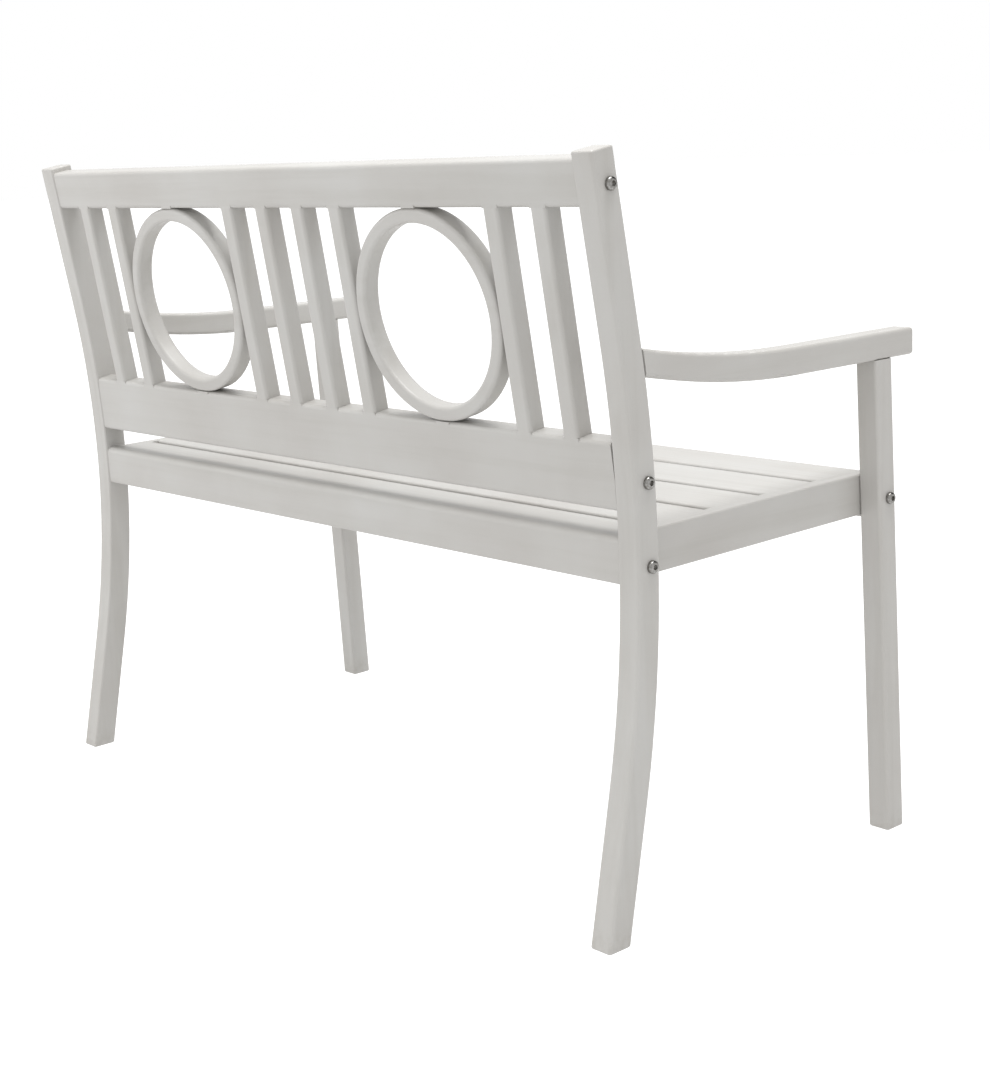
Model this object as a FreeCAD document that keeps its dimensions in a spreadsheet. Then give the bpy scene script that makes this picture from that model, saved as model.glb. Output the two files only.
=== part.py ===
import FreeCAD, Part
import math
import os

import Sketcher
from FreeCAD import Placement, Rotation, Vector

# A two-seat timber garden bench. +X is the sitter's left, the front faces -Y and +Z is up.
# The origin is on the ground in the middle of the footprint.

# Driving dimensions: millimetres, and degrees for the rakes and tilts.
sizes = {
    # whole bench
    "benchLength": 1100.0,
    "benchHeight": 857.0,
    "sideThickness": 30.0,
    # back posts: straight foot, two bends that meet at the knee, straight top
    "postDepth": 33.0,
    "kneeHeight": 424.0,
    "kneeBack": 212.0,
    "footBendRadius": 1250.0,
    "backBendRadius": 1450.0,
    "footRake": 12.02,
    "backRake": 9.37,
    # front legs
    "legDepth": 32.0,
    "legLean": 2.1,
    "legProud": 0.2,
    # armrests
    "armUnderside": 589.5,
    "armThickness": 32.5,
    "armOverhang": 43.1,
    "armBendStart": 60.0,
    "armUnderRadius": 1150.0,
    "armTopRadius": 1275.0,
    # back rails
    "railThickness": 28.0,
    "railInset": 1.5,
    "lowerRailBottom": 474.0,
    "lowerRailHeight": 74.5,
    "topRailHeight": 50.0,
    "shoulderGap": 3.0,
    "shoulderGapHeight": 40.0,
    "postAboveRail": 12.0,
    # slats and rings
    "slatWidth": 24.0,
    "slatThickness": 24.0,
    "ringWidth": 17.5,
    "ringThickness": 24.0,
    # seat
    "seatHeight": 446.0,
    "seatDepth": 446.5,
    "seatInset": 1.5,
    "seatTilt": 0.5,
    "seatRailHeight": 52.0,
    "sideRailHeight": 50.0,
    "sideRailThickness": 20.0,
    "boardThickness": 15.0,
    "boardGap": 8.5,
    "rearBoardLoss": 20.0,
    "bearerHeight": 20.0,
    "cleatWidth": 20.0,
    "bearerWidth": 40.0,
    # softened edges
    "frameRound": 4.0,
    "postInnerRound": 2.5,
    "railRound": 5.0,
    "ringSeat": 22.0,
    "seatEdgeRound": 8.0,
    "sideRailRound": 3.0,
    "seatUnderRound": 2.0,
    "armRound": 4.5,
    "slatRound": 4.5,
    "ringRound": 4.5,
    "boardRound": 3.5,
    "footChamfer": 1.5,
    # joinery
    "tenonThickness": 10.0,
    "tenonWidth": 20.0,
    "tenonLength": 16.0,
    "slatTenonSize": 12.0,
    "slatTenonLength": 12.0,
    "jointClearance": 0.2,
    "dowelRadius": 4.0,
    "dowelLength": 30.0,
    "ringDowelLength": 24.0,
    # bolts, barrel nuts and screws
    "boltRadius": 3.0,
    "boltLength": 75.0,
    "boltHeadRadius": 7.3,
    "boltHeadHeight": 5.5,
    "boltHeadRim": 2.6,
    "boltHeadFlat": 3.4,
    "socketRadius": 2.3,
    "socketDepth": 2.2,
    "boltClearance": 0.3,
    "boltSetback": 19.8,
    "legBoltSetback": 19.2,
    "nutRadius": 5.0,
    "nutLength": 14.0,
    "nutInset": 30.0,
    "nutClearance": 0.2,
    "topBoltRise": 23.5,
    "lowerBoltRise": 32.0,
    "rearBoltRise": 21.0,
    "frontBoltRise": 23.5,
    "screwRadius": 2.0,
    "screwHeadRadius": 4.0,
    "screwHeadHeight": 2.5,
    "screwLength": 30.0,
}

boardCount = 5
boltSpare = 5.0      # how far a bolt hole runs on past the bolt's end

doc = FreeCAD.newDocument("GardenBench")
sheet = doc.addObject("Spreadsheet::Sheet", "Sizes")
nextRow = 1


def addCell(alias, value):
    """Put one number in the sheet under a name."""
    global nextRow
    sheet.set("A%d" % nextRow, alias)
    sheet.set("B%d" % nextRow, repr(float(value)))
    sheet.setAlias("B%d" % nextRow, alias)
    nextRow += 1
    return alias


def bind(thing, prop, alias):
    thing.setExpression(prop, "Sizes." + alias)


# ---- shapes of the side frame, seen from the side: points are (Y, Z) ----

def postFace(depth):
    """The corners of a post's side view, foot to top, at a depth in front of its back face."""
    foot = math.radians(sizes["footRake"])
    back = math.radians(sizes["backRake"])
    lowerRadius = sizes["footBendRadius"] + depth
    upperRadius = sizes["backBendRadius"] + depth
    lowerCentre = sizes["kneeBack"] + sizes["footBendRadius"]
    upperCentre = sizes["kneeBack"] + sizes["backBendRadius"]
    kneeHeight = sizes["kneeHeight"]
    bendLow = (lowerCentre - lowerRadius * math.cos(foot), kneeHeight - lowerRadius * math.sin(foot))
    bendHigh = (upperCentre - upperRadius * math.cos(back), kneeHeight + upperRadius * math.sin(back))
    ground = (bendLow[0] + bendLow[1] * math.tan(foot), 0.0)
    knee = (sizes["kneeBack"] - depth, kneeHeight)
    # the top is square to the post, so its front edge is the highest
    topHeight = sizes["benchHeight"] - (sizes["postDepth"] - depth) * math.sin(back)
    top = (bendHigh[0] + (topHeight - bendHigh[1]) * math.tan(back), topHeight)
    return [ground, bendLow, knee, bendHigh, top]


def postY(depth, height):
    """How far back a post's face is at a height between the knee and the top."""
    radius = sizes["backBendRadius"] + depth
    centre = sizes["kneeBack"] + sizes["backBendRadius"]
    bendHigh = postFace(depth)[3]
    if height > bendHigh[1]:
        return bendHigh[0] + (height - bendHigh[1]) * math.tan(math.radians(sizes["backRake"]))
    return centre - math.sqrt(radius ** 2 - (height - sizes["kneeHeight"]) ** 2)


def legY(setback, height):
    """How far back a front leg's face is at a height; setback 0 is its back face."""
    lean = math.tan(math.radians(sizes["legLean"]))
    frontFace = seatFront.y - sizes["legProud"] + (height - seatFront.z) * lean
    return frontFace + sizes["legDepth"] - setback


def armEnd(level, radius):
    """Where an arm's underside or top meets the front of the post."""
    height = level
    for step in range(12):
        across = postY(sizes["postDepth"], height)
        height = level + radius - math.sqrt(radius ** 2 - (across + sizes["armBendStart"]) ** 2)
    return (across, height)


# ---- building blocks ----

def runsUp(edge):
    """True for an edge that climbs a post."""
    return edge.BoundBox.ZLength > sizes["postDepth"]


def originPlane(body, role):
    return [plane for plane in body.Origin.OriginFeatures if plane.Role == role][0]


def newBody(label):
    body = doc.addObject("PartDesign::Body", label)
    body.Label = label
    return body


def drawOutline(body, name, corners, bends=None, plane="YZ_Plane"):
    """A closed outline in one of the body's planes. bends maps a side's number to its (radius, centre)."""
    bends = bends or {}
    sketch = body.newObject("Sketcher::SketchObject", name + "Outline")
    sketch.AttachmentSupport = [(originPlane(body, plane), "")]
    sketch.MapMode = "FlatFace"
    ends = []
    for number, start in enumerate(corners):
        first = Vector(start[0], start[1], 0)
        finish = corners[(number + 1) % len(corners)]
        last = Vector(finish[0], finish[1], 0)
        if number in bends:
            radius, centre = bends[number]
            begin = math.atan2(start[1] - centre[1], start[0] - centre[0])
            end = math.atan2(finish[1] - centre[1], finish[0] - centre[0])
            turned = (end - begin) % (2 * math.pi) > math.pi
            circle = Part.Circle(Vector(centre[0], centre[1], 0), Vector(0, 0, 1), radius)
            swing = (end, begin) if turned else (begin, end)
            side = sketch.addGeometry(Part.ArcOfCircle(circle, *swing), False)
            ends.append((side, 2, 1) if turned else (side, 1, 2))
        else:
            side = sketch.addGeometry(Part.LineSegment(first, last), False)
            ends.append((side, 1, 2))
    for number, start in enumerate(corners):
        side, begin, end = ends[number]
        before, beforeBegin, beforeEnd = ends[number - 1]
        sketch.addConstraint(Sketcher.Constraint("Coincident", before, beforeEnd, side, begin))
        for kind, value in (("DistanceX", start[0]), ("DistanceY", start[1])):
            alias = addCell("%s%s%d" % (name, kind[-1] + "corner", number), value)
            held = sketch.addConstraint(Sketcher.Constraint(kind, -1, 1, side, begin, value))
            bind(sketch, "Constraints[%d]" % held, alias)
    for number, bend in bends.items():
        alias = addCell("%sBend%d" % (name, number), bend[0])
        held = sketch.addConstraint(Sketcher.Constraint("Radius", ends[number][0], bend[0]))
        bind(sketch, "Constraints[%d]" % held, alias)
    return sketch


def padOutline(body, name, corners, widthAlias, bends=None):
    """Pad an outline by a width, half to each side of the body's YZ plane."""
    sketch = drawOutline(body, name, corners, bends)
    pad = body.newObject("PartDesign::Pad", name + "Pad")
    pad.Profile = sketch
    pad.Midplane = True
    bind(pad, "Length", widthAlias)
    doc.recompute()
    return pad


def soften(body, base, kind, alias, picks):
    """Round or chamfer the edges of a feature that picks() accepts."""
    edges = ["Edge%d" % (number + 1) for number, edge in enumerate(base.Shape.Edges) if picks(edge)]
    feature = body.newObject("PartDesign::" + kind, body.Name + kind + base.Name)
    feature.Base = (base, edges)
    bind(feature, "Radius" if kind == "Fillet" else "Size", alias)
    doc.recompute([feature, body])
    return feature


def addBlock(body, name, across, deep, high, corner, turn=Rotation()):
    """A rectangular block in a body, with its low corner at a place."""
    block = body.newObject("PartDesign::AdditiveBox", name)
    bind(block, "Length", across)
    bind(block, "Width", deep)
    bind(block, "Height", high)
    block.Placement = Placement(corner, turn)
    doc.recompute([block, body])
    return block


def addDrill(name, radiusAlias, lengthAlias, start, direction):
    """A cylinder from a start point, for a hole or a plain pin."""
    drill = doc.addObject("Part::Cylinder", name)
    bind(drill, "Radius", radiusAlias)
    bind(drill, "Height", lengthAlias)
    drill.Placement = Placement(start, Rotation(Vector(0, 0, 1), direction))
    return drill


def addCutter(name, across, deep, high, placement):
    """A box that cuts a mortise."""
    cutter = doc.addObject("Part::Box", name)
    bind(cutter, "Length", across)
    bind(cutter, "Width", deep)
    bind(cutter, "Height", high)
    cutter.Placement = placement
    return cutter


def group(label, members):
    compound = doc.addObject("Part::Compound", label)
    compound.Label = label
    compound.Links = members
    return compound


def cutAway(label, base, tools):
    """The finished piece: a blank less its holes and mortises."""
    finished = doc.addObject("Part::Cut", label)
    finished.Label = label
    finished.Base = base
    finished.Tool = group(label + "_cutters", tools)
    doc.recompute()
    return finished


def along(edge, axis):
    """True for a straight edge that runs along X, Y or Z (0, 1 or 2)."""
    span = edge.Vertexes[-1].Point - edge.Vertexes[0].Point
    return edge.Curve.TypeId == "Part::GeomLine" and abs(span[axis]) > 0.99 * span.Length


def leanOf(direction):
    """The turn about the bench's length that stands Z along a direction."""
    return Rotation(Vector(1, 0, 0), -math.degrees(math.atan2(direction.y, direction.z)))


# ---- values worked out from the driving dimensions ----

halfLength = sizes["benchLength"] / 2
innerFace = halfLength - sizes["sideThickness"]
sideMiddle = halfLength - sizes["sideThickness"] / 2
railLength = 2 * innerFace

# The back panel leans between the top of the lower rail and the underside of the top rail.
lowerRailTop = sizes["lowerRailBottom"] + sizes["lowerRailHeight"]
topRailTop = sizes["benchHeight"] - sizes["postAboveRail"]
topRailBottom = topRailTop - sizes["topRailHeight"]


def railBack(height):
    return Vector(0, postY(0, height) - sizes["railInset"], height)


panelFoot = railBack(lowerRailTop)
panelHead = railBack(topRailBottom)
panelUp = (panelHead - panelFoot).normalize()
panelForward = Vector(0, -panelUp.z, panelUp.y)
panelHeight = (panelHead - panelFoot).Length
panelTurn = leanOf(panelUp)

# Slats and rings fill each half of the panel: half a gap, slat, gap, slat, ring, slat, gap, slat, gap.
ringRadius = panelHeight / 2
slatGap = (innerFace - panelHeight - 4 * sizes["slatWidth"]) / 3.5
slatCentres = [slatGap / 2 + sizes["slatWidth"] / 2]
slatCentres.append(slatCentres[0] + slatGap + sizes["slatWidth"])
ringCentre = slatCentres[1] + sizes["slatWidth"] / 2 + ringRadius
slatCentres.append(ringCentre + ringRadius + sizes["slatWidth"] / 2)
slatCentres.append(slatCentres[2] + slatGap + sizes["slatWidth"])

# The seat frame has its own tilted axes, with their origin at the rear top edge.
seatFrame = Placement(Vector(0, sizes["kneeBack"] - sizes["seatInset"], sizes["seatHeight"]),
                      Rotation(Vector(1, 0, 0), -sizes["seatTilt"]))
seatFront = seatFrame.multVec(Vector(0, -sizes["seatDepth"], 0))
seatSpan = sizes["seatDepth"] - 2 * sizes["railThickness"]
seatInner = innerFace - sizes["sideRailThickness"]
armTip = legY(sizes["legDepth"], sizes["armUnderside"]) - sizes["armOverhang"]

# The seat top is laid out from the front in equal strips, and the rear strip takes what is left.
# The first and last strips count the rail beside them.
boardGaps = (boardCount - 1) * sizes["boardGap"]
boardWidth = (sizes["seatDepth"] - boardGaps + sizes["rearBoardLoss"]) / boardCount
boardPitch = boardWidth + sizes["boardGap"]

worked = {
    "railLength": railLength,
    "shoulderGapDepth": sizes["railThickness"] + 2 * sizes["railInset"],
    "panelHeight": panelHeight,
    "ringRadius": ringRadius,
    "ringHole": ringRadius - sizes["ringWidth"],
    "seatSpan": seatSpan,
    "boardLength": 2 * seatInner,
    "boardWidth": boardWidth,
    "frontBoardWidth": boardWidth - sizes["railThickness"],
    "rearBoardWidth": boardWidth - sizes["railThickness"] - sizes["rearBoardLoss"],
    "slatTenonSpan": panelHeight + 2 * sizes["slatTenonLength"],
    "slatMortise": sizes["slatTenonSize"] + 2 * sizes["jointClearance"],
    "slatMortiseDepth": sizes["slatTenonLength"] + 2 * sizes["jointClearance"],
    "mortiseThickness": sizes["tenonThickness"] + 2 * sizes["jointClearance"],
    "mortiseWidth": sizes["tenonWidth"] + 2 * sizes["jointClearance"],
    "mortiseLength": 2 * sizes["tenonLength"] + 2 * sizes["jointClearance"],
    "tenonSpan": 2 * sizes["tenonLength"],
    "boltHoleRadius": sizes["boltRadius"] + sizes["boltClearance"],
    "boltHoleLength": sizes["boltLength"] + boltSpare,
    "nutHoleRadius": sizes["nutRadius"] + sizes["nutClearance"],
    "dowelHoleLength": sizes["dowelLength"] + 2 * sizes["jointClearance"],
    "ringDowelHoleLength": sizes["ringDowelLength"] + 2 * sizes["jointClearance"],
}

for alias, value in list(sizes.items()) + list(worked.items()):
    addCell(alias, value)
doc.recompute()

# ---- where the bolts go: the (Y, Z) of each one ----

seatRailFoot = seatFrame.multVec(Vector(0, 0, -sizes["seatRailHeight"])).z
seatFrontFoot = seatFrame.multVec(Vector(0, -sizes["seatDepth"], -sizes["seatRailHeight"])).z
topBoltHeight = topRailBottom + sizes["topBoltRise"]
lowerBoltHeight = sizes["lowerRailBottom"] + sizes["lowerBoltRise"]
rearBoltHeight = seatRailFoot + sizes["rearBoltRise"]
frontBoltHeight = seatFrontFoot + sizes["frontBoltRise"]
boltPlaces = {
    "top": (postY(0, topBoltHeight) - sizes["boltSetback"], topBoltHeight),
    "lower": (postY(0, lowerBoltHeight) - sizes["boltSetback"], lowerBoltHeight),
    "rear": (sizes["kneeBack"] - sizes["boltSetback"], rearBoltHeight),
    "front": (legY(sizes["legBoltSetback"], frontBoltHeight), frontBoltHeight),
}
nutHoleDepths = {
    "top": sizes["topBoltRise"],
    "lower": sizes["lowerBoltRise"],
    "rear": sizes["rearBoltRise"],
    "front": sizes["frontBoltRise"],
}
for place, rise in nutHoleDepths.items():
    addCell(place + "NutHole", rise + sizes["nutLength"])
doc.recompute()

ends = {"left": 1, "right": -1}
boltHoles = {}
nutHoles = {}
for place, (across, height) in boltPlaces.items():
    boltHoles[place] = {}
    nutHoles[place] = {}
    for end, way in ends.items():
        boltHoles[place][end] = addDrill("%s%sBoltHole" % (end, place), "boltHoleRadius", "boltHoleLength",
                                         Vector(way * halfLength, across, height), Vector(-way, 0, 0))
        nutTop = height + sizes["nutLength"] / 2 + sizes["nutClearance"]
        nutHoles[place][end] = addDrill("%s%sNutHole" % (end, place), "nutHoleRadius", place + "NutHole",
                                        Vector(way * (innerFace - sizes["nutInset"]), across, nutTop),
                                        Vector(0, 0, -1))


def railHoles(place):
    return list(boltHoles[place].values()) + list(nutHoles[place].values())


# ---- side frames ----

def armTenonCorner():
    """The low corner of the tenon at the rear of an arm, on the body's own YZ plane."""
    under = armEnd(sizes["armUnderside"], sizes["armUnderRadius"])
    top = armEnd(sizes["armUnderside"] + sizes["armThickness"], sizes["armTopRadius"])
    middle = (under[1] + top[1]) / 2
    return Vector(0, under[0] - sizes["tenonLength"], middle - sizes["tenonWidth"] / 2)


def makePost(end, way):
    back = postFace(0)
    front = postFace(sizes["postDepth"])
    lowerCentre = (sizes["kneeBack"] + sizes["footBendRadius"], sizes["kneeHeight"])
    upperCentre = (sizes["kneeBack"] + sizes["backBendRadius"], sizes["kneeHeight"])
    bends = {
        1: (sizes["footBendRadius"], lowerCentre),
        2: (sizes["backBendRadius"], upperCentre),
        6: (sizes["backBendRadius"] + sizes["postDepth"], upperCentre),
        7: (sizes["footBendRadius"] + sizes["postDepth"], lowerCentre),
    }
    body = newBody("%s_back_post_blank" % end)
    pad = padOutline(body, end + "Post", back + front[::-1], "sideThickness", bends)
    innerSide = -way * sizes["sideThickness"] / 2
    backTop = back[-1][1]
    outer = soften(body, pad, "Fillet", "frameRound",
                   lambda edge: runsUp(edge) and abs(edge.BoundBox.Center.x + innerSide) < 0.01)
    inner = soften(body, outer, "Fillet", "postInnerRound",
                   lambda edge: edge.BoundBox.ZMin > backTop - 0.01
                   or (runsUp(edge) and abs(edge.BoundBox.Center.x - innerSide) < 0.01))
    soften(body, inner, "Chamfer", "footChamfer", lambda edge: edge.BoundBox.ZMax < 0.01)
    body.Placement.Base = Vector(way * sideMiddle, 0, 0)
    corner = armTenonCorner()
    gap = sizes["jointClearance"]
    start = Vector(way * sideMiddle - sizes["tenonThickness"] / 2 - gap, corner.y - gap, corner.z - gap)
    mortise = addCutter(end + "PostMortise", "mortiseThickness", "mortiseLength", "mortiseWidth",
                        Placement(start, Rotation()))
    holes = [boltHoles[place][end] for place in ("top", "lower", "rear")]
    cutAway("%s_back_post" % end, body, [mortise] + holes)


def legTenonCorner():
    """The low corner of the tenon on top of a front leg, on the body's own YZ plane."""
    middle = legY(sizes["legDepth"] / 2, sizes["armUnderside"])
    return Vector(0, middle - sizes["tenonWidth"] / 2, sizes["armUnderside"] - sizes["tenonLength"])


def makeFrontLeg(end, way):
    top = sizes["armUnderside"]
    depth = sizes["legDepth"]
    corners = [(legY(0, 0), 0), (legY(0, top), top), (legY(depth, top), top), (legY(depth, 0), 0)]
    body = newBody("%s_front_leg_blank" % end)
    pad = padOutline(body, end + "Leg", corners, "sideThickness")
    rounded = soften(body, pad, "Fillet", "frameRound", lambda edge: edge.BoundBox.ZLength > top / 2)
    soften(body, rounded, "Chamfer", "footChamfer", lambda edge: edge.BoundBox.ZMax < 0.01)
    corner = legTenonCorner()
    addBlock(body, end + "LegTenon", "tenonThickness", "tenonWidth", "tenonSpan",
             Vector(-sizes["tenonThickness"] / 2, corner.y, corner.z))
    body.Placement.Base = Vector(way * sideMiddle, 0, 0)
    cutAway("%s_front_leg" % end, body, [boltHoles["front"][end]])


def makeArm(end, way):
    under = sizes["armUnderside"]
    over = under + sizes["armThickness"]
    bendStart = -sizes["armBendStart"]
    endUnder = armEnd(under, sizes["armUnderRadius"])
    endOver = armEnd(over, sizes["armTopRadius"])
    corners = [(armTip, under), (bendStart, under), endUnder, endOver, (bendStart, over), (armTip, over)]
    postCentre = (sizes["kneeBack"] + sizes["backBendRadius"], sizes["kneeHeight"])
    bends = {
        1: (sizes["armUnderRadius"], (bendStart, under + sizes["armUnderRadius"])),
        2: (sizes["backBendRadius"] + sizes["postDepth"], postCentre),
        3: (sizes["armTopRadius"], (bendStart, over + sizes["armTopRadius"])),
    }
    body = newBody("%s_armrest_blank" % end)
    pad = padOutline(body, end + "Arm", corners, "sideThickness", bends)
    soften(body, pad, "Fillet", "armRound",
           lambda edge: edge.BoundBox.YMax < armTip + 0.01
           or (edge.BoundBox.YMin < bendStart + 1 and not along(edge, 0)))
    corner = armTenonCorner()
    addBlock(body, end + "ArmTenon", "tenonThickness", "tenonSpan", "tenonWidth",
             Vector(-sizes["tenonThickness"] / 2, corner.y, corner.z))
    body.Placement.Base = Vector(way * sideMiddle, 0, 0)
    legCorner = legTenonCorner()
    gap = sizes["jointClearance"]
    start = Vector(way * sideMiddle - sizes["tenonThickness"] / 2 - gap, legCorner.y - gap, legCorner.z - gap)
    mortise = addCutter(end + "ArmMortise", "mortiseThickness", "mortiseWidth", "mortiseLength",
                        Placement(start, Rotation()))
    cutAway("%s_armrest" % end, body, [mortise])


# ---- the back ----

def panelPoint(across, up, forward=0.0):
    """A point in the leaning back panel: along the bench, up the panel, forward of its back face."""
    return Vector(across, 0, 0) + panelFoot + panelUp * up + panelForward * forward


def slatMortises(name, up):
    """The mortises for all the slat tenons in one rail."""
    forward = sizes["slatThickness"] / 2 + sizes["slatTenonSize"] / 2 + sizes["jointClearance"]
    cutters = []
    for way in ends.values():
        for number, centre in enumerate(slatCentres):
            left = way * centre - sizes["slatTenonSize"] / 2 - sizes["jointClearance"]
            cutters.append(addCutter("%sMortise%s%d" % (name, "LR"[way < 0], number), "slatMortise",
                                     "slatMortise", "slatMortiseDepth",
                                     Placement(panelPoint(left, up, forward), panelTurn)))
    return cutters


def ringDowels(name, radiusAlias, lengthAlias, length):
    """Pins that cross the joints above and below each ring."""
    pins = []
    for end, way in ends.items():
        for level in (0, panelHeight):
            start = panelPoint(way * ringCentre, level - length / 2, sizes["ringThickness"] / 2)
            pins.append(addDrill("%s%s%d" % (name, end, level > 0), radiusAlias, lengthAlias, start, panelUp))
    return pins


def railCorners(backLow, backHigh, frontLow, frontHigh):
    return [(point.y, point.z) for point in (backLow, backHigh, frontHigh, frontLow)]


def makeBackRail(name, corners, seat, turn, upward):
    """A rail blank with rounded arrises, left square at the back where each slat and ring meets it.
    seat is the back corner of the face that they meet."""
    body = newBody(name + "_back_rail_blank")
    rounded = soften(body, padOutline(body, name + "Rail", corners, "railLength"), "Fillet", "railRound",
                     lambda edge: along(edge, 0))
    low = 0 if upward else -sizes["railRound"]
    widths = {"slatWidth": slatCentres, "ringSeat": [ringCentre]}
    for end, way in ends.items():
        for alias, centres in widths.items():
            for number, centre in enumerate(centres):
                start = Vector(way * centre - sizes[alias] / 2, -sizes["railRound"], low)
                addBlock(body, "%s%s%s%d" % (name, end, alias, number), alias, "railRound", "railRound",
                         seat + turn.multVec(start), turn)
    return body


def addShoulderGap(turn):
    """The rail's right shoulder is cut a little out of square, so its joint stands open at the top."""
    wedge = doc.addObject("Part::Wedge", "shoulderGapCutter")
    wedge.Xmin = 0
    wedge.X2min = 0
    wedge.Xmax = sizes["jointClearance"] / 10
    bind(wedge, "X2max", "shoulderGap")
    wedge.Ymin = 0
    bind(wedge, "Ymax", "shoulderGapHeight")
    for side in ("Zmin", "Z2min"):
        setattr(wedge, side, 0)
    for side in ("Zmax", "Z2max"):
        bind(wedge, side, "shoulderGapDepth")
    back = panelFoot + turn.multVec(Vector(0, sizes["railInset"], -sizes["shoulderGapHeight"]))
    onEdge = turn.multiply(Rotation(Vector(1, 0, 0), 90))
    wedge.Placement = Placement(Vector(-innerFace, back.y, back.z), onEdge)
    return wedge


def makeBackRails(ringPinHoles):
    thickness = sizes["railThickness"]
    lowerBack = railBack(sizes["lowerRailBottom"])
    lowerUp = (panelFoot - lowerBack).normalize()
    topBack = railBack(topRailTop)
    topUp = (topBack - panelHead).normalize()
    lowerCorners = railCorners(lowerBack, panelFoot, lowerBack + Vector(0, -lowerUp.z, lowerUp.y) * thickness,
                               panelFoot + panelForward * thickness)
    topCorners = railCorners(panelHead, topBack, panelHead + panelForward * thickness,
                             topBack + Vector(0, -topUp.z, topUp.y) * thickness)
    lower = makeBackRail("lower", lowerCorners, panelFoot, leanOf(lowerUp), False)
    lowerMortises = slatMortises("lower", -sizes["slatTenonLength"] - sizes["jointClearance"])
    gap = addShoulderGap(leanOf(lowerUp))
    cutAway("lower_back_rail", lower, lowerMortises + railHoles("lower") + ringPinHoles + [gap])
    top = makeBackRail("top", topCorners, panelHead, leanOf(topUp), True)
    topMortises = slatMortises("top", panelHeight - sizes["jointClearance"])
    cutAway("top_back_rail", top, topMortises + railHoles("top") + ringPinHoles)


def makeSlat(number, centre):
    """One slat, with a stub tenon at each end."""
    width = sizes["slatWidth"]
    thickness = sizes["slatThickness"]
    tenon = sizes["slatTenonSize"]
    body = newBody("back_slat_%d" % number)
    name = "slat%d" % number
    bar = addBlock(body, name + "Bar", "slatWidth", "slatThickness", "panelHeight",
                   Vector(-width / 2, -thickness, 0))
    soften(body, bar, "Fillet", "slatRound", lambda edge: along(edge, 2))
    addBlock(body, name + "Tenons", "slatTenonSize", "slatTenonSize", "slatTenonSpan",
             Vector(-tenon / 2, -thickness / 2 - tenon / 2, -sizes["slatTenonLength"]))
    body.Placement = Placement(panelPoint(centre, 0), panelTurn)


def makeRing(end, way, pinHoles):
    """A turned ring that touches both rails and the slats on each side of it."""
    body = newBody("%s_back_ring_blank" % end)
    disc = body.newObject("PartDesign::AdditiveCylinder", end + "RingDisc")
    bind(disc, "Radius", "ringRadius")
    bind(disc, "Height", "ringThickness")
    hole = body.newObject("PartDesign::SubtractiveCylinder", end + "RingHole")
    bind(hole, "Radius", "ringHole")
    bind(hole, "Height", "ringThickness")
    doc.recompute()
    soften(body, hole, "Fillet", "ringRound", lambda edge: edge.Curve.TypeId == "Part::GeomCircle")
    turn = panelTurn.multiply(Rotation(Vector(1, 0, 0), 90))
    body.Placement = Placement(panelPoint(way * ringCentre, ringRadius), turn)
    cutAway("%s_back_ring" % end, body, pinHoles)


# ---- the seat, in its own tilted axes ----

def makeTimber(label, cells, corner, rounds=()):
    """A straight timber of the seat; cells name its size along X, Y and Z, and rounds its softened edges."""
    body = newBody(label)
    shape = addBlock(body, label + "Block", *cells, Vector())
    for alias, picks in rounds:
        shape = soften(body, shape, "Fillet", alias, picks)
    body.Placement = seatFrame.multiply(Placement(corner, Rotation()))
    return body


def outerArris(axis, far, upper):
    """Picks one long edge of a block that runs along X or Y: far or near side, upper or lower."""
    def picks(edge):
        box = edge.BoundBox
        side = box.XMin if axis else box.YMin
        return along(edge, axis) and (side > 0.01) == far and (box.ZMin > 0.01) == upper
    return picks


def railRounds(alias, axis, far):
    """The round on a seat rail's outer top edge, and the small one below it."""
    return [(alias, outerArris(axis, far, True)), ("seatUnderRound", outerArris(axis, far, False))]


def seatPoint(across, back, up):
    return seatFrame.multVec(Vector(across, back, up))


def seatDowels(name, radiusAlias, lengthAlias, length):
    """Two pins in each corner of the seat frame."""
    across = innerFace - sizes["sideRailThickness"] / 2
    forward = seatFrame.Rotation.multVec(Vector(0, 1, 0))
    pins = {}
    rail = sizes["railThickness"]
    for place, back in (("rear", -rail), ("front", rail - sizes["seatDepth"])):
        for end, way in ends.items():
            for level in (1, 5):
                start = seatPoint(way * across, back - length / 2, level * sizes["seatRailHeight"] / 6 * -1)
                pins[place, end, level] = addDrill("%s%s%s%d" % (name, end, place, level), radiusAlias,
                                                   lengthAlias, start, forward)
    return pins


def boardEdges(number):
    """The front and rear edges of a board, counted from 0 at the front."""
    front = number * boardPitch - sizes["seatDepth"]
    rear = front + boardWidth
    if number == 0:
        front += sizes["railThickness"]
    if number == boardCount - 1:
        rear = -sizes["railThickness"]
    return (front, rear)


def screwPlaces():
    """The foot of each seat screw, under the bearers."""
    across = seatInner - sizes["cleatWidth"] / 2
    foot = -sizes["boardThickness"] - sizes["bearerHeight"]
    middles = [sum(boardEdges(number)) / 2 for number in range(boardCount)]
    return [seatPoint(x, y, foot) for x in (-across, 0, across) for y in middles]


def makeScrew():
    """A countersunk screw, point up, with its head at the origin."""
    body = newBody("seat_screw")
    head = body.newObject("PartDesign::AdditiveCone", "screwHead")
    bind(head, "Radius1", "screwHeadRadius")
    bind(head, "Radius2", "screwRadius")
    bind(head, "Height", "screwHeadHeight")
    shank = body.newObject("PartDesign::AdditiveCylinder", "screwShank")
    bind(shank, "Radius", "screwRadius")
    bind(shank, "Height", "screwLength")
    doc.recompute()
    return body


def copies(name, source, placements):
    """Placed copies of one body."""
    made = []
    for number, placement in enumerate(placements):
        link = doc.addObject("App::Link", "%s%d" % (name, number + 1))
        link.LinkedObject = source
        link.Placement = placement
        made.append(link)
    return made


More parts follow.
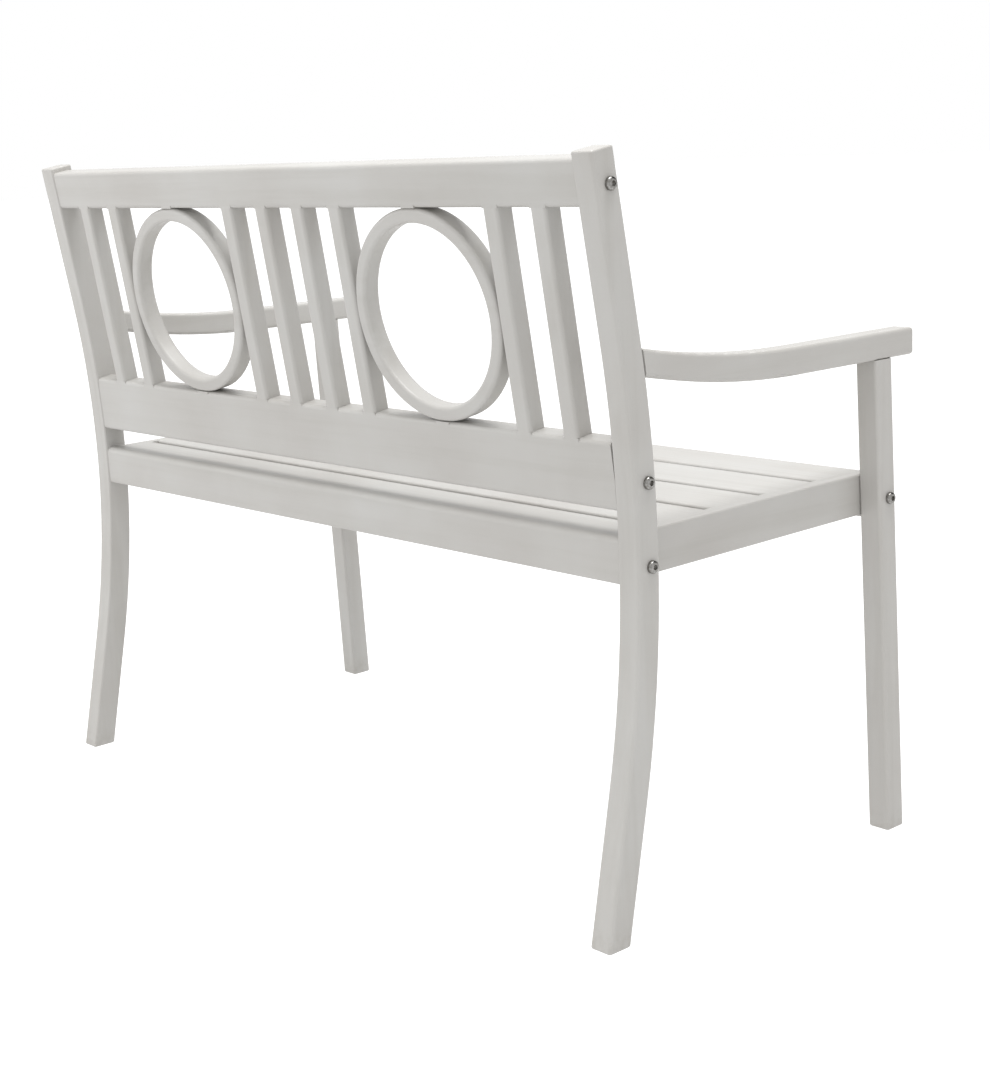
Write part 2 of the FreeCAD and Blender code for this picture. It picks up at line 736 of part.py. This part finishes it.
def makeSeat():
    rail = sizes["railThickness"]
    depth = sizes["seatDepth"]
    height = sizes["seatRailHeight"]
    span = ("railLength", "railThickness", "seatRailHeight")
    pinHoles = seatDowels("seatPinHole", "dowelRadius", "dowelHoleLength",
                          sizes["dowelLength"] + 2 * sizes["jointClearance"])
    rear = makeTimber("rear_seat_rail_blank", span, Vector(-innerFace, -rail, -height),
                      railRounds("seatEdgeRound", 0, True))
    front = makeTimber("front_seat_rail_blank", span, Vector(-innerFace, -depth, -height),
                       railRounds("seatEdgeRound", 0, False))
    for place, blank in (("rear", rear), ("front", front)):
        holes = [pin for key, pin in pinHoles.items() if key[0] == place]
        cutAway(place + "_seat_rail", blank, railHoles(place) + holes)
    for end, way in ends.items():
        outer = way > 0
        corner = Vector(seatInner if outer else -innerFace, rail - depth, -sizes["sideRailHeight"])
        side = makeTimber("%s_seat_side_rail_blank" % end,
                          ("sideRailThickness", "seatSpan", "sideRailHeight"), corner,
                          railRounds("sideRailRound", 1, outer))
        cutAway("%s_seat_side_rail" % end, side, [pin for key, pin in pinHoles.items() if key[1] == end])
    group("seat_frame_dowels", list(seatDowels("seatPin", "dowelRadius", "dowelLength",
                                               sizes["dowelLength"]).values()))
    makeSeatBoards()


def makeSeatBoards():
    rail = sizes["railThickness"]
    depth = sizes["seatDepth"]
    under = -sizes["boardThickness"] - sizes["bearerHeight"]
    screw = makeScrew()
    upright = seatFrame.Rotation
    screws = copies("seatScrew", screw, [Placement(foot, upright) for foot in screwPlaces()])
    widths = ["frontBoardWidth"] + ["boardWidth"] * (boardCount - 2) + ["rearBoardWidth"]
    for number, width in enumerate(widths):
        rounds = []
        if number > 0:
            rounds.append(("boardRound", outerArris(0, False, True)))
        if number < boardCount - 1:
            rounds.append(("boardRound", outerArris(0, True, True)))
        label = "seat_board_%d" % (number + 1)
        blank = makeTimber(label + "_blank", ("boardLength", width, "boardThickness"),
                           Vector(-seatInner, boardEdges(number)[0], -sizes["boardThickness"]), rounds)
        cutAway(label, blank, screws[number::boardCount])
    cleat = ("cleatWidth", "seatSpan", "bearerHeight")
    for end, way in ends.items():
        left = seatInner - sizes["cleatWidth"] if way > 0 else -seatInner
        blank = makeTimber("%s_seat_cleat_blank" % end, cleat, Vector(left, rail - depth, under))
        isThisEnd = [link for link in screws if link.Placement.Base.x * way > 1]
        cutAway("%s_seat_cleat" % end, blank, isThisEnd)
    blank = makeTimber("centre_seat_bearer_blank", ("bearerWidth", "seatSpan", "bearerHeight"),
                       Vector(-sizes["bearerWidth"] / 2, rail - depth, under))
    cutAway("centre_seat_bearer", blank, [link for link in screws if abs(link.Placement.Base.x) < 1])
    group("seat_screws", screws)


# ---- bolts and barrel nuts ----

def makeBolt():
    """A button-head bolt along +X, with the seat of its head at the origin."""
    body = newBody("frame_bolt")
    head = sizes["boltHeadHeight"]
    flat = sizes["boltHeadFlat"]
    wide = sizes["boltHeadRadius"]
    rim = sizes["boltHeadRim"]
    shank = sizes["boltRadius"]
    domeCentre = (wide ** 2 + rim ** 2 - flat ** 2 - head ** 2) / (2 * (head - rim))
    domeRadius = math.hypot(domeCentre + rim, wide)
    corners = [(-head, 0), (-head, flat), (-rim, wide), (0, wide), (0, shank),
               (sizes["boltLength"], shank), (sizes["boltLength"], 0)]
    sketch = drawOutline(body, "bolt", corners, {1: (domeRadius, (domeCentre, 0))}, "XY_Plane")
    turned = body.newObject("PartDesign::Revolution", "boltTurned")
    turned.Profile = sketch
    turned.ReferenceAxis = (sketch, ["H_Axis"])
    turned.Angle = 360.0
    doc.recompute()
    socket = body.newObject("PartDesign::SubtractivePrism", "boltSocket")
    socket.Polygon = 6
    bind(socket, "Circumradius", "socketRadius")
    bind(socket, "Height", "socketDepth")
    socket.Placement = Placement(Vector(-head, 0, 0), Rotation(Vector(0, 0, 1), Vector(1, 0, 0)))
    doc.recompute()
    return body


def makeFixings():
    bolt = makeBolt()
    placements = []
    nuts = []
    for place, (across, height) in boltPlaces.items():
        for end, way in ends.items():
            turn = Rotation(Vector(0, 0, 1), 180 if way > 0 else 0)
            placements.append(Placement(Vector(way * halfLength, across, height), turn))
            foot = Vector(way * (innerFace - sizes["nutInset"]), across, height - sizes["nutLength"] / 2)
            blank = addDrill("%s%sNutBlank" % (end, place), "nutRadius", "nutLength", foot, Vector(0, 0, 1))
            nut = doc.addObject("Part::Cut", "%s%sNut" % (end, place))
            nut.Base = blank
            nut.Tool = boltHoles[place][end]
            nuts.append(nut)
    group("frame_bolts", copies("frameBolt", bolt, placements))
    group("barrel_nuts", nuts)


# ---- put the bench together ----

ringPinHoles = ringDowels("ringPinHole", "dowelRadius", "ringDowelHoleLength",
                          sizes["ringDowelLength"] + 2 * sizes["jointClearance"])
for end, way in ends.items():
    makePost(end, way)
    makeFrontLeg(end, way)
    makeArm(end, way)
    makeRing(end, way, [pin for pin in ringPinHoles if pin.Name.startswith("ringPinHole" + end)])
makeBackRails(ringPinHoles)
group("ring_dowels", ringDowels("ringPin", "dowelRadius", "ringDowelLength", sizes["ringDowelLength"]))
for number, centre in enumerate([-c for c in slatCentres[::-1]] + slatCentres):
    makeSlat(number + 1, centre)
makeSeat()
makeFixings()
doc.recompute()

# ---- check and write every piece ----

nodes = ["%s_%s" % (end, piece) for end in ends
         for piece in ("back_post", "front_leg", "armrest", "back_ring", "seat_side_rail", "seat_cleat")]
nodes += ["top_back_rail", "lower_back_rail", "rear_seat_rail", "front_seat_rail", "centre_seat_bearer"]
nodes += ["back_slat_%d" % (number + 1) for number in range(2 * len(slatCentres))]
nodes += ["seat_board_%d" % (number + 1) for number in range(boardCount)]
nodes += ["frame_bolts", "barrel_nuts", "ring_dowels", "seat_frame_dowels", "seat_screws"]

for thing in doc.Objects:
    if "Invalid" in thing.State or "Error" in thing.State:
        raise RuntimeError("%s can't be worked out" % thing.Label)
os.makedirs("parts", exist_ok=True)
for label in nodes:
    piece = doc.getObjectsByLabel(label)[0]
    if piece.Shape.isNull() or not piece.Shape.isValid():
        raise RuntimeError("%s has no valid shape" % label)
    piece.Shape.exportStep("parts/%s.step" % label)
print("%d pieces written" % len(nodes))
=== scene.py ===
import math

import bpy
from mathutils import Matrix, Vector


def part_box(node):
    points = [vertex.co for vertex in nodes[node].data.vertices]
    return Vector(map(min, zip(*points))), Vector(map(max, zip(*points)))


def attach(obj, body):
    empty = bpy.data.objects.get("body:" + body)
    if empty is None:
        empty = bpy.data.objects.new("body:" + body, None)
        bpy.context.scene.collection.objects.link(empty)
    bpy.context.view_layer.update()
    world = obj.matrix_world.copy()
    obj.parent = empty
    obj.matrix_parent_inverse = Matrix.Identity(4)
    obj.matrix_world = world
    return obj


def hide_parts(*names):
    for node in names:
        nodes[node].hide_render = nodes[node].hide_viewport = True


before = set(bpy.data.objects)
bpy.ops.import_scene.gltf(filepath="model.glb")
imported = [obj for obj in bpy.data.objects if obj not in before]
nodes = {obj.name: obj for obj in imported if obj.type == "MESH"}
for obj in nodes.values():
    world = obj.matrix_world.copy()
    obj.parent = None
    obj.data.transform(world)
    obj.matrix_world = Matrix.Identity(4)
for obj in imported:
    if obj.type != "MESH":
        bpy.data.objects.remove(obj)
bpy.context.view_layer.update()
print("frame loaded:", len(nodes), "timbers and fixings")


# node helpers

def startMaterial(name):
    material = bpy.data.materials.new(name)
    material.use_nodes = True
    return material.node_tree, material.node_tree.nodes["Principled BSDF"], material


def feed(tree, socket, source):
    # a socket takes a link from another node, or a plain value
    if isinstance(source, bpy.types.NodeSocket):
        tree.links.new(source, socket)
    else:
        socket.default_value = source


def addNode(tree, kind, feeds=None, **options):
    node = tree.nodes.new(kind)
    for option, value in options.items():
        setattr(node, option, value)
    for socket, source in (feeds or {}).items():
        feed(tree, node.inputs[socket], source)
    return node


def objectCoords(tree):
    return tree.nodes.new("ShaderNodeTexCoord").outputs["Object"]


def cameraRay(tree):
    return tree.nodes.new("ShaderNodeLightPath").outputs["Is Camera Ray"]


def addNoise(tree, vector, scale, detail, roughness=0.5):
    noise = addNode(tree, "ShaderNodeTexNoise",
                    {"Vector": vector, "Scale": scale, "Detail": detail, "Roughness": roughness})
    return noise.outputs["Fac"]


def addGrain(tree, vector, axis, scale, detail, roughness=0.5):
    # noise drawn out along one axis, with its scale across and along it
    across, lengthwise = scale
    stretch = [across] * 3
    stretch["XYZ".index(axis)] = lengthwise
    mapping = addNode(tree, "ShaderNodeMapping", {"Vector": vector, "Scale": stretch})
    return addNoise(tree, mapping.outputs["Vector"], 1.0, detail, roughness)


def addRamp(tree, fac, stops):
    ramp = addNode(tree, "ShaderNodeValToRGB", {"Fac": fac})
    ramp.color_ramp.elements.remove(ramp.color_ramp.elements[1])
    for number, (position, colour) in enumerate(stops):
        stop = ramp.color_ramp.elements[0] if number == 0 else ramp.color_ramp.elements.new(position)
        stop.position = position
        stop.color = colour
    return ramp.outputs["Color"]


def addRange(tree, value, low, high, start=0.0, stop=1.0):
    spread = addNode(tree, "ShaderNodeMapRange", {
        "Value": value, "From Min": start, "From Max": stop, "To Min": low, "To Max": high})
    return spread.outputs["Result"]


def addMix(tree, kind, fac, first, second):
    mix = addNode(tree, "ShaderNodeMix", data_type="RGBA", blend_type=kind)
    for socket, source in (("Factor", fac), ("A", first), ("B", second)):
        feed(tree, mix.inputs[socket], source)
    return mix.outputs["Result"]


def addBump(tree, height, strength, distance, normal=None):
    bump = addNode(tree, "ShaderNodeBump", {"Height": height, "Strength": strength, "Distance": distance})
    if normal:
        tree.links.new(normal, bump.inputs["Normal"])
    return bump.outputs["Normal"]


# camera and studio

cameraSettings = {
    "place": (-1.8975, 1.622, 0.8776),    # metres, behind the bench on the sitter's right
    "azimuth": 229.21,                    # degrees round the bench
    "elevation": 11.35,
    "roll": -2.76,
    "lens": 62.66,                        # millimetres on a 36 mm sensor
    "shift": (0.0339, -0.0303),
    "reach": 100,                         # metres, how far the camera sees
}


def addCamera(settings):
    data = bpy.data.cameras.new("studioCamera")
    data.lens = settings["lens"]
    data.shift_x, data.shift_y = settings["shift"]
    data.clip_end = settings["reach"]
    camera = bpy.data.objects.new("studioCamera", data)
    bpy.context.scene.collection.objects.link(camera)
    turn = Matrix.Rotation(math.radians(settings["azimuth"]), 4, "Z")
    tip = Matrix.Rotation(math.radians(90 - settings["elevation"]), 4, "X")
    roll = Matrix.Rotation(math.radians(settings["roll"]), 4, "Z")
    camera.matrix_world = Matrix.Translation(settings["place"]) @ turn @ tip @ roll
    bpy.context.scene.camera = camera


studioSettings = {
    "backdrop": (1.0, 1.0, 1.0, 1),
    "skyColour": (0.95, 0.95, 0.95, 1),
    "flagColour": (0.1, 0.1, 0.1, 1),    # a dark patch high at the front, for bright steel to reflect
    "flagPlace": (-0.25, -0.8, 0.62),    # the way to its middle
    "flagEdges": (0.80, 0.93),           # cosines of the angle from its middle, where it fades in
    "floorSize": 60.0,
    "floorColour": (0.3, 0.3, 0.3, 1),
    "floorGlow": 0.71,                   # how strongly the floor lights the bench
    "floorShown": 1.0,                   # how strongly it glows in the view, a plain white sweep
}

lampSettings = {
    "softKey": {"place": (-0.5, 0.0, 4.3), "size": 2.4, "power": 152.0},
    "softFill": {"place": (1.6, 1.3, 0.9), "size": 1.3, "power": 5.5},
}
lampTarget = (0, 0, 0.45)    # about the middle of the bench


def aimAt(lamp, target):
    lamp.rotation_euler = (Vector(target) - lamp.location).to_track_quat("-Z", "Y").to_euler()


def addSky(settings):
    world = bpy.data.worlds.new("studioSky")
    world.use_nodes = True
    tree = world.node_tree
    where = tree.nodes.new("ShaderNodeTexCoord").outputs["Generated"]
    middle = Vector(settings["flagPlace"]).normalized()
    aim = addNode(tree, "ShaderNodeVectorMath", {0: where, 1: middle}, operation="DOT_PRODUCT")
    fadeStart, fadeEnd = settings["flagEdges"]
    sky = addRamp(tree, aim.outputs["Value"],
                  [(fadeStart, settings["skyColour"]), (fadeEnd, settings["flagColour"])])
    shown = addMix(tree, "MIX", cameraRay(tree), sky, settings["backdrop"])    # the view sees plain white
    tree.links.new(shown, tree.nodes["Background"].inputs["Color"])
    bpy.context.scene.world = world


def addFloor(settings):
    bpy.ops.mesh.primitive_plane_add(size=settings["floorSize"], location=(0, 0, 0))
    floor = bpy.context.object
    floor.name = "studioFloor"
    tree, shader, material = startMaterial("paleFloor")
    shader.inputs["Base Color"].default_value = settings["floorColour"]
    shader.inputs["Roughness"].default_value = 1.0
    shader.inputs["Specular IOR Level"].default_value = 0.0
    shader.inputs["Emission Color"].default_value = (1, 1, 1, 1)
    glow = addRange(tree, cameraRay(tree), settings["floorGlow"], settings["floorShown"])
    tree.links.new(glow, shader.inputs["Emission Strength"])
    floor.data.materials.append(material)


def addLamp(name, settings):
    bpy.ops.object.light_add(type="AREA", location=settings["place"])
    lamp = bpy.context.object
    lamp.name = name
    lamp.data.size = settings["size"]
    lamp.data.energy = settings["power"]
    lamp.visible_camera = False
    aimAt(lamp, lampTarget)


addCamera(cameraSettings)
addSky(studioSettings)
addFloor(studioSettings)
for name, settings in lampSettings.items():
    addLamp(name, settings)
bpy.context.scene.view_settings.view_transform = "Standard"
print("camera and studio set")


# white paint over planed timber: soft brush lines, grain telegraphing through, slightly uneven white

paintSettings = {
    "tones": [(0.30, (0.442, 0.427, 0.406, 1)), (0.52, (0.470, 0.460, 0.440, 1)),
              (0.72, (0.494, 0.488, 0.472, 1))],
    "streaks": [(0.34, (0.90, 0.893, 0.875, 1)), (0.50, (0.975, 0.972, 0.965, 1)), (0.66, (1, 1, 1, 1))],
    "cloudScale": 5.0,
    "cloudNoise": (4.0, 0.55),       # detail and roughness
    "grainScale": (42.0, 2.2),       # across and along the timber, per metre
    "grainNoise": (5.0, 0.62),
    "grainTone": 0.6,
    "grainBump": (0.35, 0.0004),     # strength and depth
    "poreScale": (900.0, 26.0),
    "poreNoise": (2.0, 0.5),
    "poreSpread": (0.58, 0.75),      # only the peaks of the noise are pores
    "poreBump": (0.22, 0.00012),
    "brushScale": (330.0, 3.0),
    "brushNoise": (4.0, 0.6),
    "brushSpread": (0.3, 0.7),
    "brushBump": (0.30, 0.00008),
    "roughness": (0.36, 0.52),
    "coatWeight": 0.12,
    "coatRoughness": 0.22,
}

# colour and mask for darker patches on the paint near the ground
groundDarkeningSettings = {
    "colour": (0.36, 0.34, 0.31, 1),
    "height": 0.03,                  # metres up from the ground
    "scale": 120.0,
    "detail": 4.0,
    "spread": (0.4, 0.7),
    "most": 0.6,
}


# the paint goes darker in patches over the bottom few centimetres, towards where the feet meet the ground
def addGroundDarkening(tree, where, colour, settings):
    # the feet pick up a little dirt and wear where they meet the ground
    parts = addNode(tree, "ShaderNodeSeparateXYZ", {"Vector": where})
    near = addRange(tree, parts.outputs["Z"], 1.0, 0.0, 0.0, settings["height"])
    noise = addNoise(tree, where, settings["scale"], settings["detail"])
    patch = addRange(tree, noise, 0.0, settings["most"], *settings["spread"])
    both = addNode(tree, "ShaderNodeMath", {0: near, 1: patch}, operation="MULTIPLY")
    return addMix(tree, "MIX", both.outputs["Value"], colour, settings["colour"])


def makePaint(name, axis, settings):
    tree, shader, material = startMaterial(name)
    where = objectCoords(tree)
    cloud = addNoise(tree, where, settings["cloudScale"], *settings["cloudNoise"])
    grain = addGrain(tree, where, axis, settings["grainScale"], *settings["grainNoise"])
    pores = addGrain(tree, where, axis, settings["poreScale"], *settings["poreNoise"])
    brush = addGrain(tree, where, axis, settings["brushScale"], *settings["brushNoise"])
    tone = addRamp(tree, cloud, settings["tones"])
    streak = addRamp(tree, grain, settings["streaks"])
    colour = addMix(tree, "MULTIPLY", settings["grainTone"], tone, streak)
    # the base colour goes darker in patches near the ground
    tree.links.new(addGroundDarkening(tree, where, colour, groundDarkeningSettings), shader.inputs["Base Color"])
    rough = addRange(tree, brush, *settings["roughness"], *settings["brushSpread"])
    tree.links.new(rough, shader.inputs["Roughness"])
    normal = addBump(tree, grain, *settings["grainBump"])
    pits = addRange(tree, pores, 0.0, 1.0, *settings["poreSpread"])
    normal = addBump(tree, pits, *settings["poreBump"], normal)
    normal = addBump(tree, brush, *settings["brushBump"], normal)
    tree.links.new(normal, shader.inputs["Normal"])
    shader.inputs["Coat Weight"].default_value = settings["coatWeight"]
    shader.inputs["Coat Roughness"].default_value = settings["coatRoughness"]
    return material


# bare beech for the dowels

beechSettings = {
    "tones": [(0.3, (0.52, 0.34, 0.19, 1)), (0.55, (0.66, 0.46, 0.28, 1)), (0.75, (0.74, 0.55, 0.36, 1))],
    "grainScale": (700.0, 30.0),
    "grainDetail": 4.0,
    "fleckScale": 900.0,
    "fleckDetail": 2.0,
    "roughness": (0.5, 0.7),
    "bump": (0.4, 0.0002),
}


def makeBeech(settings):
    tree, shader, material = startMaterial("bareBeech")
    where = objectCoords(tree)
    grain = addGrain(tree, where, "Y", settings["grainScale"], settings["grainDetail"])
    fleck = addNoise(tree, where, settings["fleckScale"], settings["fleckDetail"])
    tree.links.new(addRamp(tree, grain, settings["tones"]), shader.inputs["Base Color"])
    tree.links.new(addRange(tree, fleck, *settings["roughness"]), shader.inputs["Roughness"])
    tree.links.new(addBump(tree, grain, *settings["bump"]), shader.inputs["Normal"])
    return material


# steel: bright plated bolt heads, duller zinc on the hidden nuts and screws

steelSettings = {
    "cloudDetail": 3.0,
    "scratchScale": (3000.0, 300.0),
    "scratchDetail": 2.0,
    "scratchSpread": (0.3, 0.7),
    "scratchDepth": 0.00002,
}

platings = {
    "boltSteel": {
        "tones": [(0.35, (0.22, 0.21, 0.195, 1)), (0.65, (0.36, 0.355, 0.345, 1))],
        "roughness": (0.12, 0.26),
        "cloudScale": 400.0,
        "scratches": 0.12,
    },
    "zincSteel": {
        "tones": [(0.35, (0.48, 0.50, 0.53, 1)), (0.65, (0.62, 0.64, 0.66, 1))],
        "roughness": (0.32, 0.5),
        "cloudScale": 650.0,
        "scratches": 0.25,
    },
}


def makeSteel(name, plating, settings):
    tree, shader, material = startMaterial(name)
    where = objectCoords(tree)
    cloud = addNoise(tree, where, plating["cloudScale"], settings["cloudDetail"])
    scratches = addGrain(tree, where, "Z", settings["scratchScale"], settings["scratchDetail"])
    rough = addRange(tree, scratches, *plating["roughness"], *settings["scratchSpread"])
    tree.links.new(addRamp(tree, cloud, plating["tones"]), shader.inputs["Base Color"])
    tree.links.new(rough, shader.inputs["Roughness"])
    normal = addBump(tree, scratches, plating["scratches"], settings["scratchDepth"])
    tree.links.new(normal, shader.inputs["Normal"])
    shader.inputs["Metallic"].default_value = 1.0
    return material


paints = {axis: makePaint("paintAlong" + axis, axis, paintSettings) for axis in "XYZ"}
beech = makeBeech(beechSettings)
steels = {name: makeSteel(name, plating, steelSettings) for name, plating in platings.items()}
grainAxes = {
    "X": ("top_back_rail", "lower_back_rail", "back_ring", "rear_seat_rail", "front_seat_rail",
          "seat_board"),
    "Y": ("seat_side_rail", "armrest", "seat_cleat", "centre_seat_bearer"),
    "Z": ("back_post", "front_leg", "back_slat"),
}


def finishFor(name):
    for axis, pieces in grainAxes.items():
        if any(piece in name for piece in pieces):
            return paints[axis]
    if "dowels" in name:
        return beech
    return steels["boltSteel" if name == "frame_bolts" else "zincSteel"]


for name, node in nodes.items():
    node.data.materials.clear()
    node.data.materials.append(finishFor(name))
print("timber painted, dowels left bare, fixings plated")


# bolts, modelled once and copied to each place where the frame has one

boltSettings = {
    "headRadius": 0.0073,
    "headHeight": 0.0055,
    "domeDrop": 0.0032,       # how far the dome comes down to the rim
    "domeSteps": 8,
    "rimBevel": 0.0004,
    "rimSteps": 2,
    "socketRadius": 0.0033,
    "socketDepth": 0.0024,
    "socketSides": 6,
    "cutterReach": 1.5,       # top of the cutter, in head heights
    "shankRadius": 0.003,
    "shankLength": 0.075,
    "tipSteps": 1,
    "sides": 48,
    "turn": 37.0,             # degrees from one socket to the next
    "mergeGap": 0.000001,
    "smoothAngle": 35.0,
}
squareOn = 0.9                # a face whose normal has this much of Z is an end face


def deselectAll():
    for thing in list(bpy.context.selected_objects):
        thing.select_set(False)


def startEdit(piece):
    deselectAll()
    piece.select_set(True)
    bpy.context.view_layer.objects.active = piece
    bpy.ops.object.mode_set(mode="EDIT")
    bpy.ops.mesh.select_mode(type="FACE")
    bpy.ops.mesh.select_all(action="DESELECT")
    bpy.ops.object.mode_set(mode="OBJECT")


def editFaces(piece, test):
    startEdit(piece)
    for face in piece.data.polygons:
        face.select = test(face)
    bpy.ops.object.mode_set(mode="EDIT")


def bevelEnd(piece, way, width, steps):
    # rounds the edge of the end that faces up, or down when way is -1
    editFaces(piece, lambda face: face.normal.z * way > squareOn)
    bpy.ops.mesh.bevel(offset=width, segments=steps, affect="EDGES")
    bpy.ops.object.mode_set(mode="OBJECT")


def addRod(sides, radius, low, high):
    deselectAll()
    bpy.ops.mesh.primitive_cylinder_add(vertices=sides, radius=radius, depth=high - low,
                                        location=(0, 0, (low + high) / 2))
    bpy.ops.object.transform_apply(location=True, rotation=True, scale=True)
    return bpy.context.object


def cutWith(piece, cutter):
    deselectAll()
    piece.select_set(True)
    bpy.context.view_layer.objects.active = piece
    cut = piece.modifiers.new("cut", "BOOLEAN")
    cut.operation = "DIFFERENCE"
    cut.object = cutter
    bpy.ops.object.modifier_apply(modifier=cut.name)
    bpy.data.objects.remove(cutter)


def makeBolt(settings):
    top = settings["headHeight"]
    rim = settings["rimBevel"]
    head = addRod(settings["sides"], settings["headRadius"], 0, top)
    bevelEnd(head, 1, settings["domeDrop"], settings["domeSteps"])
    bevelEnd(head, -1, rim, settings["rimSteps"])
    cutWith(head, addRod(settings["socketSides"], settings["socketRadius"],
                         top - settings["socketDepth"], top * settings["cutterReach"]))
    shank = addRod(settings["sides"] // 2, settings["shankRadius"], -settings["shankLength"], 0)
    bevelEnd(shank, -1, rim, settings["tipSteps"])
    shank.select_set(True)
    head.select_set(True)
    bpy.context.view_layer.objects.active = head
    bpy.ops.object.join()
    return head


def findBolts(node, mergeGap):
    # a copy of the node in loose parts gives each bolt's end (1 or -1) and its middle along Y and Z
    spare = node.copy()
    spare.data = node.data.copy()
    bpy.context.scene.collection.objects.link(spare)
    startEdit(spare)
    bpy.ops.object.mode_set(mode="EDIT")
    bpy.ops.mesh.select_all(action="SELECT")
    bpy.ops.mesh.remove_doubles(threshold=mergeGap)
    bpy.ops.mesh.separate(type="LOOSE")
    bpy.ops.object.mode_set(mode="OBJECT")
    places = []
    for part in list(bpy.context.selected_objects):
        points = [vertex.co for vertex in part.data.vertices]
        middle = [(min(p[k] for p in points) + max(p[k] for p in points)) / 2 for k in range(3)]
        places.append((math.copysign(1, middle[0]), middle[1], middle[2]))
        bpy.data.objects.remove(part)
    return sorted(places)


def addBolts(settings, material):
    master = makeBolt(settings)
    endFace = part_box("left_back_post")[1][0]
    copies = []
    places = findBolts(nodes["frame_bolts"], settings["mergeGap"])
    for number, (way, back, height) in enumerate(places):
        bolt = master.copy()
        bolt.data = master.data.copy()
        bpy.context.scene.collection.objects.link(bolt)
        spin = Matrix.Rotation(math.radians(number * settings["turn"]), 4, "Z")
        tip = Matrix.Rotation(math.radians(90 * way), 4, "Y")
        bolt.data.transform(Matrix.Translation((way * endFace, back, height)) @ tip @ spin)
        copies.append(bolt)
    bpy.data.objects.remove(master)
    deselectAll()
    for bolt in copies:
        bolt.select_set(True)
    bpy.context.view_layer.objects.active = copies[0]
    bpy.ops.object.join()
    bolts = bpy.context.object
    bolts.name = "frame_bolt_set"
    bolts.data.materials.clear()
    bolts.data.materials.append(material)
    bpy.ops.object.shade_smooth_by_angle(angle=math.radians(settings["smoothAngle"]))
    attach(bolts, "root")
    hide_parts("frame_bolts")


addBolts(boltSettings, steels["boltSteel"])
print("bolts in")
